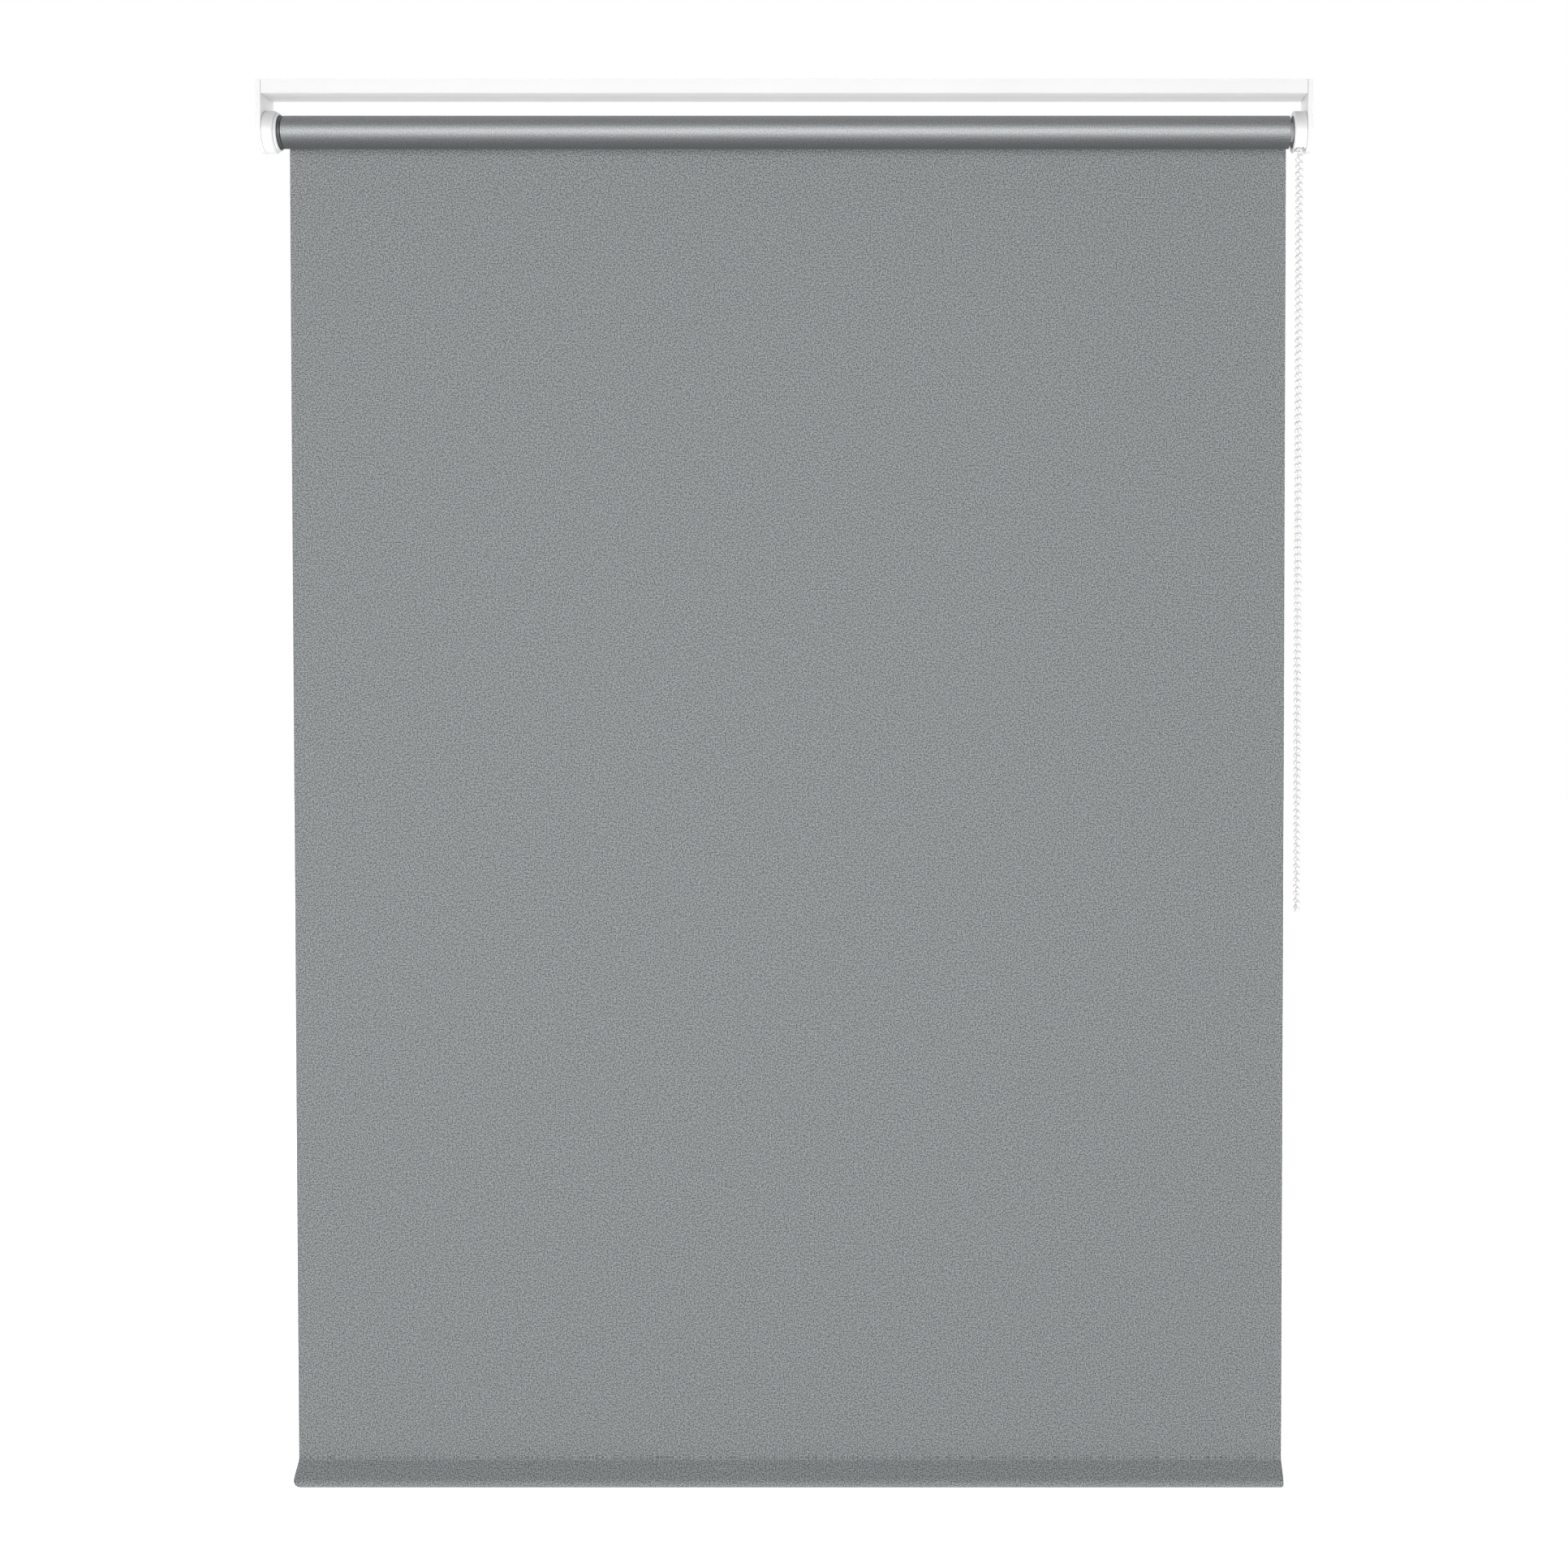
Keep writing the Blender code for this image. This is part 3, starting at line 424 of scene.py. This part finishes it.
def finish(name, colour, **sockets):
    """A material with one Principled shader whose plain values are set on its own sockets."""
    made = bpy.data.materials.new(name)
    made.use_nodes = True
    shader = made.node_tree.nodes["Principled BSDF"]
    shader.inputs["Base Color"].default_value = (*colour, 1)
    for key, value in sockets.items():
        shader.inputs[key.replace("_", " ")].default_value = value
    made.diffuse_color = (*colour, 1)
    return made, made.node_tree, shader


def blend_colours(tree, share, first, second):
    """First where share is 0 and second where it is 1; each of the three is a plain value or a socket."""
    mixed = node(tree, "ShaderNodeMix", {"Factor": share}, data_type="RGBA")
    for key, value in (("A", first), ("B", second)):
        socket = next(s for s in mixed.inputs if s.name == key and s.type == "RGBA")
        if isinstance(value, bpy.types.NodeSocket):
            tree.links.new(value, socket)
        else:
            socket.default_value = (*value, 1)
    return next(s for s in mixed.outputs if s.type == "RGBA")


def bump(tree, shader, height, distance, strength=1.0):
    made = node(tree, "ShaderNodeBump", {"Height": height, "Distance": distance, "Strength": strength})
    tree.links.new(made.outputs["Normal"], shader.inputs["Normal"])


def roughen(tree, shader, value, rough):
    """Roughness that runs from the low to the high end of a pair with a 0..1 value."""
    low, high = rough
    rougher = node(tree, "ShaderNodeMapRange", {"Value": value, "To Min": low, "To Max": high})
    tree.links.new(rougher.outputs["Result"], shader.inputs["Roughness"])


def shaded(colour, factor):
    return tuple(c * factor for c in colour)


def cloth_finish(name, colour, contrast, weave_depth, rough, **sockets):
    """Woven cloth: lighter and darker threads, flecks and slubs, and painted shade in the gaps between threads,
    over a fine bump.
    """
    made, tree, shader = finish(name, colour, **sockets)
    across = node(tree, "ShaderNodeUVMap", uv_map="cloth").outputs["UV"]
    weave = use(tree, WOVEN, {"Across": across})
    flecked = blend_colours(tree, weave["Fleck"], shaded(colour, 1 - contrast), shaded(colour, 1 + contrast))
    milder = contrast / 2
    slubbed = blend_colours(tree, weave["Slub"], shaded(colour, 1 - milder), shaded(colour, 1 + milder))
    mixed = blend_colours(tree, SLUB_SHARE, flecked, slubbed)
    # painted shade: the colour darkens where the weave sinks between threads
    gap_shade = maths(tree, "MULTIPLY_ADD", weave["Height"], -THREAD_GAP_SHADE, THREAD_GAP_SHADE)
    gap_shaded = blend_colours(tree, gap_shade, mixed, shaded(colour, THREAD_GAP_SHADE_TONE))
    tree.links.new(gap_shaded, shader.inputs["Base Color"])
    roughen(tree, shader, weave["Fleck"], rough)
    raised = maths(tree, "MULTIPLY_ADD", weave["Slub"], 0.5, weave["Height"])
    bump(tree, shader, raised, weave_depth)
    return made


def plain_finish(name, colour, grain, depth, rough, dusty=0.0, worn=None, **sockets):
    """Paint, plastic or metal with grain, a slow change of tone, softly worn edges and dust on top."""
    made, tree, shader = finish(name, colour, **sockets)
    fine = use(tree, GRAIN, {"Size": grain})
    tone = blend_colours(tree, fine["Tone"], shaded(colour, 0.975), colour)
    edge = maths(tree, "MULTIPLY", use(tree, EDGES)["Mask"], EDGE_SHARE)
    surface = blend_colours(tree, edge, tone, worn or shaded(colour, 0.86))
    if dusty:
        dust = use(tree, DUST, {"Amount": dusty})["Mask"]
        surface = blend_colours(tree, dust, surface, DUST_COLOUR)
    tree.links.new(surface, shader.inputs["Base Color"])
    roughen(tree, shader, fine["Height"], rough)
    bump(tree, shader, fine["Height"], depth)
    return made


CLOTH_FRONT = cloth_finish(
    "cloth_matte_side", (0.234, 0.2495, 0.2535), 0.85, 0.00005, (0.82, 0.95), Sheen_Weight=0.05
)
CLOTH_BACK = cloth_finish(
    "cloth_pearl_side", (0.325, 0.337, 0.342), 0.3, 0.00002, (0.56, 0.62), Metallic=0.95
)
WHITE_METAL = plain_finish("white_coated_metal", (0.83, 0.83, 0.83), 0.0016, 0.00002, (0.30, 0.42), 0.5)
WHITE_PLASTIC = plain_finish("white_moulding", (0.835, 0.835, 0.835), 0.0009, 0.00002, (0.36, 0.50), 0.4)
# dark plastic for the hem bar's caps; on the chain wheel and the idle collar the same dark colour is painted
# shade, standing for the shade at the roll's ends
DARK_PLASTIC_AND_SHADE = plain_finish(
    "dark_moulding_and_painted_shade", (0.07, 0.075, 0.078), 0.0008, 0.00003, (0.42, 0.58), 0.2, (0.13, 0.135, 0.14)
)
BEADS = plain_finish(
    "bead_plastic", (0.95, 0.95, 0.95), 0.0012, 0.00001, (0.26, 0.36), 0.0, (0.95, 0.95, 0.95),
    Subsurface_Weight=0.5, Subsurface_Radius=(1, 1, 1), Subsurface_Scale=0.0015,
)
STEEL = plain_finish(
    "zinc_plated_steel", (0.60, 0.60, 0.60), 0.0007, 0.00002, (0.26, 0.46), 0.2, (0.75, 0.75, 0.76),
    Metallic=1.0,
)
ALUMINIUM = plain_finish(
    "mill_aluminium", (0.75, 0.75, 0.76), 0.0010, 0.00002, (0.32, 0.50), 0.1, (0.85, 0.85, 0.86),
    Metallic=1.0,
)
SLOT_FINISH = {
    "white_metal": WHITE_METAL, "white_plastic": WHITE_PLASTIC, "dark_plastic": DARK_PLASTIC_AND_SHADE,
    "chain_plastic": BEADS, "steel": STEEL, "aluminium": ALUMINIUM, "fabric_matte": CLOTH_FRONT,
    "fabric_reverse": CLOTH_BACK,
}


def dress_nodes():
    """Gives every carried-over CAD solid the finish of its slot."""
    for part in frame["record"]["subparts"]:
        slots = frame["nodes"][part["node"]].data.materials
        slots.clear()
        slots.append(SLOT_FINISH[part["material_slot"]])


def make_camera():
    data = bpy.data.cameras.new("camera")
    data.lens = CAMERA_LENS
    data.shift_x, data.shift_y = CAMERA_SHIFT
    camera = bpy.data.objects.new("camera", data)
    camera.location = CAMERA_PLACE
    camera.rotation_euler = (math.pi / 2 - CAMERA_PITCH, 0, 0)
    bpy.context.scene.collection.objects.link(camera)
    bpy.context.scene.camera = camera


# Bead chain


def curve_point(before, a, b, after, t):
    """A point on the Catmull-Rom curve between a and b."""
    return tuple(
        0.5 * (2 * q + (r - p) * t + (2 * p - 5 * q + 4 * r - s) * t**2 + (3 * q - p - 3 * r + s) * t**3)
        for p, q, r, s in zip(before, a, b, after)
    )


def smooth_route(stations, spacing):
    """Points at an even spacing along a smooth curve through the stations."""
    fine_steps = 40
    dense = []
    for i in range(len(stations) - 1):
        before = stations[max(i - 1, 0)]
        after = stations[min(i + 2, len(stations) - 1)]
        for step in range(fine_steps):
            dense.append(curve_point(before, stations[i], stations[i + 1], after, step / fine_steps))
    dense.append(stations[-1])
    lengths = [0.0]
    for a, b in zip(dense, dense[1:]):
        lengths.append(lengths[-1] + math.dist(a, b))
    count = round(lengths[-1] / spacing)
    points = []
    at = 0
    for i in range(count + 1):
        wanted = lengths[-1] * i / count
        while at < len(lengths) - 2 and lengths[at + 1] < wanted:
            at += 1
        share = (wanted - lengths[at]) / (lengths[at + 1] - lengths[at])
        points.append(Vector(p + (q - p) * share for p, q in zip(dense[at], dense[at + 1])))
    return points


def bead_string(name, centres, body, replaces=()):
    """Round beads at the given points."""
    mesh = bmesh.new()
    for centre in centres:
        bead = bmesh.ops.create_uvsphere(mesh, u_segments=8, v_segments=6, radius=BEAD_RADIUS)["verts"]
        bmesh.ops.translate(mesh, verts=bead, vec=centre)
    return placed(name, mesh, [BEADS], body, replaces, flat_angle=80)


def thread(name, points, body):
    """The cord that the beads are moulded on."""
    curve = bpy.data.curves.new(name, "CURVE")
    curve.dimensions = "3D"
    curve.bevel_depth = THREAD_RADIUS
    curve.bevel_resolution = 1
    curve.use_fill_caps = True
    spline = curve.splines.new("POLY")
    spline.points.add(len(points) - 1)
    for point, place in zip(spline.points, points):
        point.co = (*place, 1)
    curve.materials.append(BEADS)
    return joined_in(bpy.data.objects.new(name, curve), body)


def wheel_places(steps):
    """Places over the top of the sprocket, from its rear to its front."""
    half_turn = arc((0, AXIS.z), CHAIN_RADIUS, 0, 180, steps)
    return [Vector((CHAIN_TOP.x, y, z)) for y, z in half_turn]


def make_chain():
    stations = [tuple(CHAIN_TOP + Vector((0, y, -depth))) for y, depth in CHAIN_ROUTE]
    centres = smooth_route(stations, BEAD_PITCH)
    string = thread("chain_thread", centres, "chain")
    beads = bead_string("chain_beads", centres[1:-1], "chain", ["pull_chain"])
    bead_string("wheel_beads", wheel_places(SPROCKET_POCKETS // 2), "roller", ["chain_on_sprocket"])
    thread("wheel_thread", wheel_places(WHEEL_THREAD_STEPS), "roller")


# Cloth


def ripple(x, z):
    """A slow, slight unevenness that hanging cloth has."""
    return 0.5 * math.sin(9.1 * x + 2.3 * z + 0.6) + 0.5 * math.sin(5.3 * x - 3.9 * z + 1.9)


def make_sheet():
    """From the hem's weld up to the roll, and a little way round it."""
    rows = 96
    top = AXIS.z
    path = [(SHEET_MIDDLE, HEM_TOP), (SHEET_MIDDLE, HEM_TOP + EDGE_COLUMN)]
    path += [(SHEET_MIDDLE, HEM_TOP + (top - HEM_TOP) * i / rows) for i in range(1, rows + 1)]
    lead_radius = SHEET_MIDDLE + LEAD_GAP
    narrow = EDGE_COLUMN / lead_radius
    for share in (0.25, 0.5, 0.75, 1 - narrow / LEAD_ANGLE, 1):
        angle = LEAD_ANGLE * share
        path.append((lead_radius * math.cos(angle), top + lead_radius * math.sin(angle)))
    mesh = facing(ribbon(path, ROLL_LEFT, ROLL_RIGHT, 72), (0, -1, 0))
    height = top - HEM_TOP
    for point in mesh.verts:
        share = (top - point.co.z) / height
        if share <= 0:
            continue
        free = math.sin(math.pi * min(share, 1.0)) ** 0.8
        edge = min(point.co.x - ROLL_LEFT, ROLL_RIGHT - point.co.x)
        curl = EDGE_CURL * math.exp(-edge / EDGE_CURL_WIDTH)
        point.co.y += free * (SHEET_RIPPLE * ripple(point.co.x * 2, point.co.z * 2) - curl)
    sheet = placed("hanging_cloth", mesh, [CLOTH_FRONT, CLOTH_BACK], "head", ["fabric_sheet"])
    thicken(sheet)
    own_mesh(sheet)


def make_roll():
    """The layers on the tube, wound as one spiral whose outer end meets the hanging cloth."""
    steps_per_turn = 60
    turn = 2 * math.pi
    count = round(LAYERS_LEFT * steps_per_turn)
    narrow = EDGE_COLUMN / ROLL_RADIUS
    wound = LAYERS_LEFT * turn - LEAD_ANGLE
    angles = [LEAD_ANGLE]
    angles += [LEAD_ANGLE + narrow + (wound - narrow) * i / count for i in range(count + 1)]
    path = []
    for angle in angles:
        radius = ROLL_RADIUS - CLOTH / 2 - CLOTH * (angle - LEAD_ANGLE) / turn
        path.append((radius * math.cos(angle), AXIS.z + radius * math.sin(angle)))
    mesh = facing(ribbon(path, ROLL_LEFT, ROLL_RIGHT, 20), (0, 1, 0))
    rng = random.Random(7)
    shift = [rng.uniform(-EDGE_WANDER, EDGE_WANDER) for _ in range(8)]
    for point in mesh.verts:
        angle = math.atan2(point.co.z - AXIS.z, point.co.y)
        lean = sum(s * math.cos((k + 1) * angle) for k, s in enumerate(shift)) / 4
        if point.co.x < ROLL_LEFT + ROLL_END_REACH or point.co.x > ROLL_RIGHT - ROLL_END_REACH:
            point.co.x += lean
    finishes = [CLOTH_BACK, CLOTH_FRONT]
    roll = placed("roll_of_cloth", mesh, finishes, "roller", ["fabric_wraps"])
    thicken(roll)


def hem_path():
    """The cloth's way round the bar: down the front, round the bottom and up behind to the weld."""
    radius = HEM_ROUND - CLOTH / 2
    centre = (ROLL_RADIUS - HEM_ROUND, HEM_BOTTOM + HEM_ROUND)
    weld_bottom = HEM_TOP - WELD_DROP
    front_at_weld = (SHEET_MIDDLE - CLOTH, weld_bottom)
    across, up = front_at_weld[0] - centre[0], front_at_weld[1] - centre[1]
    lean = math.degrees(math.asin(radius / math.hypot(across, up)) + math.atan2(across, up))
    round_under = arc(centre, radius, 180 - lean, 360, 22)
    path = [(SHEET_MIDDLE, HEM_TOP)]
    for i in range(1, 5):
        t = i / 4
        ease = t * t * (3 - 2 * t)
        path.append((SHEET_MIDDLE - CLOTH * ease, HEM_TOP - WELD_DROP * t))
    foot = round_under[0]
    for i in range(1, 10):
        t = i / 10
        path.append(tuple(p + (q - p) * t for p, q in zip(front_at_weld, foot)))
    path += round_under
    for i in range(1, 11):
        path.append((SHEET_MIDDLE, centre[1] + (weld_bottom - centre[1]) * i / 10))
    return path


def make_hem():
    """The pocket round the bar, flared and rounded at its ends."""
    path = hem_path()
    mesh = facing(ribbon(path, ROLL_LEFT, ROLL_RIGHT, 96), (0, -1, 0))
    height = HEM_TOP - HEM_BOTTOM
    ends = (ROLL_LEFT, -1, HEM_FLARE[0], HEM_CORNER[0]), (ROLL_RIGHT, 1, HEM_FLARE[1], HEM_CORNER[1])
    for point in mesh.verts:
        down = (HEM_TOP - point.co.z) / height
        for end, side, flare, corner in ends:
            near = max(0.0, 1 - abs(point.co.x - end) / HEM_END_REACH)
            share = min(1.0, down / HEM_FLARE_SHARE)
            push = flare * share * share * (3 - 2 * share)
            above = (point.co.z - HEM_BOTTOM) / corner
            pull = corner * (1 - math.sqrt(max(0.0, 1 - (1 - above) ** 2))) if above < 1 else 0.0
            point.co.x += side * near**2 * (push - pull)
        bulge = math.sin(math.pi * min(1.0, down)) * HEM_BULGE
        if point.co.y < SHEET_MIDDLE - CLOTH:
            point.co.y -= bulge * (1 + ripple(point.co.x * 6, 0.4))
    hem = placed("hem_cloth", mesh, [CLOTH_FRONT, CLOTH_BACK], "hem", ["hem_pocket"])
    thicken(hem)


# Rail, brackets and drums


def ring_profile():
    """The raised ring on the idle drum's face: it starts in the face's recess and stands round the collar."""
    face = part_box("idle_drum")[1][0]
    foot, start, end = face - 0.0008, face + 0.0003, face + RING_RISE
    return [
        (foot, RING_INNER), (end, RING_INNER), (end, RING_INNER + RING_LIP),
        (face + RING_RISE * 0.55, RING_OUTER), (start, RING_OUTER),
        (start, RING_INNER + RING_LIP), (foot, RING_INNER + RING_LIP),
    ]


def make_mouldings():
    """Softened copies of the solids that are seen; the last number is the width of their rounded edges."""
    refined("head_rail", "rail_profile", WHITE_METAL, "head", 0.0002)
    refined("idle_bracket", "idle_side_plate", WHITE_PLASTIC, "head", 0.0003)
    refined("drive_bracket", "drive_side_plate", WHITE_PLASTIC, "head", 0.0003)
    refined("drive_housing", "drive_drum", WHITE_PLASTIC, "head", 0.00015)
    refined("chain_guard", "chain_divider", WHITE_PLASTIC, "head", 0.0003)
    refined("drive_core", "drive_hub", WHITE_PLASTIC, "roller", 0.00015)
    # painted shade: the collar is made dark to stand for the shaded band between the idle drum and the roll
    refined("idle_plug", "idle_collar", DARK_PLASTIC_AND_SHADE, "roller", 0.0002)
    refined("idle_drum", "idle_drum_shell", WHITE_PLASTIC, "head", 0.0001)
    ring = turned(rounded(ring_profile(), RING_ROUNDING))
    placed("idle_face_ring", ring, [WHITE_PLASTIC], "head")
    # painted shade: the chain wheel is made dark to stand for the shade in the drive drum's recess round the hub
    refined("sprocket", "chain_wheel", DARK_PLASTIC_AND_SHADE, "roller")
    refined("bar_cap_left", "hem_cap_left", DARK_PLASTIC_AND_SHADE, "hem", 0.0002)
    refined("bar_cap_right", "hem_cap_right", DARK_PLASTIC_AND_SHADE, "hem", 0.0002)
    refined("bottom_bar", "hem_bar", ALUMINIUM, "hem")
    for side in ("left", "middle", "right"):
        refined(f"mounting_clip_{side}", f"rail_clip_{side}", STEEL, "head", 0.0002)


def make_pin_spring():
    """The sprung pin's coil, which shortens against its seat as the pin goes in."""
    spring = refined("idle_pin_spring", "pin_coil", STEEL, "roller")
    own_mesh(spring)


# Studio


def area_light(name, place, aim, size, power):
    data = bpy.data.lights.new(name, "AREA")
    data.shape = "RECTANGLE"
    data.size, data.size_y = size
    data.energy = power
    light = bpy.data.objects.new(name, data)
    light.location = place
    light.rotation_euler = (Vector(aim) - Vector(place)).to_track_quat("-Z", "Y").to_euler()
    bpy.context.scene.collection.objects.link(light)
    return light


def make_floor():
    """A pale floor that looks as bright as the background and lights the blind from below."""
    mesh = bmesh.new()
    bmesh.ops.create_grid(mesh, x_segments=2, y_segments=2, size=FLOOR_HALF)
    bmesh.ops.translate(mesh, verts=mesh.verts, vec=(0, 0, HEM_BOTTOM - FLOOR_DROP))
    data = bpy.data.meshes.new("floor")
    mesh.to_mesh(data)
    mesh.free()
    floor = bpy.data.objects.new("floor", data)
    bpy.context.scene.collection.objects.link(floor)
    pale, tree, shader = finish("pale_floor", FLOOR_COLOUR, Roughness=0.9)
    ray = node(tree, "ShaderNodeLightPath").outputs
    colour = blend_colours(tree, ray["Is Glossy Ray"], FLOOR_COLOUR, FLOOR_MIRRORED)
    tree.links.new(colour, shader.inputs["Base Color"])
    shader.inputs["Emission Color"].default_value = (1, 1, 1, 1)
    sent_up = maths(tree, "MULTIPLY", ray["Is Diffuse Ray"], FLOOR_GLOW)
    glow = maths(tree, "MULTIPLY_ADD", ray["Is Camera Ray"], FLOOR_SEEN_GLOW, sent_up)
    tree.links.new(glow, shader.inputs["Emission Strength"])
    data.materials.append(pale)


def make_surroundings():
    """White to the camera; as light, a bright screen behind the blind and a darker room in front."""
    world = bpy.data.worlds.new("studio")
    world.use_nodes = True
    tree = world.node_tree
    direction = node(tree, "ShaderNodeTexCoord").outputs["Generated"]
    back_share = node(tree, "ShaderNodeSeparateXYZ", {0: direction}).outputs["Y"]
    reach = {
        "Value": back_share, "From Min": -SCREEN_EDGE, "From Max": SCREEN_EDGE,
        "To Min": ROOM_LIGHT, "To Max": SCREEN_LIGHT,
    }
    lit = node(tree, "ShaderNodeMapRange", reach, interpolation_type="SMOOTHSTEP").outputs["Result"]
    seen = node(tree, "ShaderNodeLightPath").outputs["Is Camera Ray"]
    strength = node(tree, "ShaderNodeMix", {"Factor": seen, "A": lit, "B": 1.0}, data_type="FLOAT")
    back = tree.nodes["Background"]
    back.inputs["Color"].default_value = (1, 1, 1, 1)
    tree.links.new(strength.outputs["Result"], back.inputs["Strength"])
    bpy.context.scene.world = world
    bpy.context.scene.view_settings.view_transform = "Standard"


def make_lights():
    area_light("front_softbox", KEY_PLACE, (0, 0, -0.3), KEY_SIZE, KEY_POWER)
    strip = area_light("strip_for_shine", STRIP_PLACE, (0, 0, -0.1), STRIP_SIZE, STRIP_POWER)
    strip.visible_diffuse = False


dress_nodes()
make_camera()
make_chain()
make_sheet()
make_roll()
make_hem()
make_mouldings()
make_pin_spring()
make_floor()
make_surroundings()
make_lights()
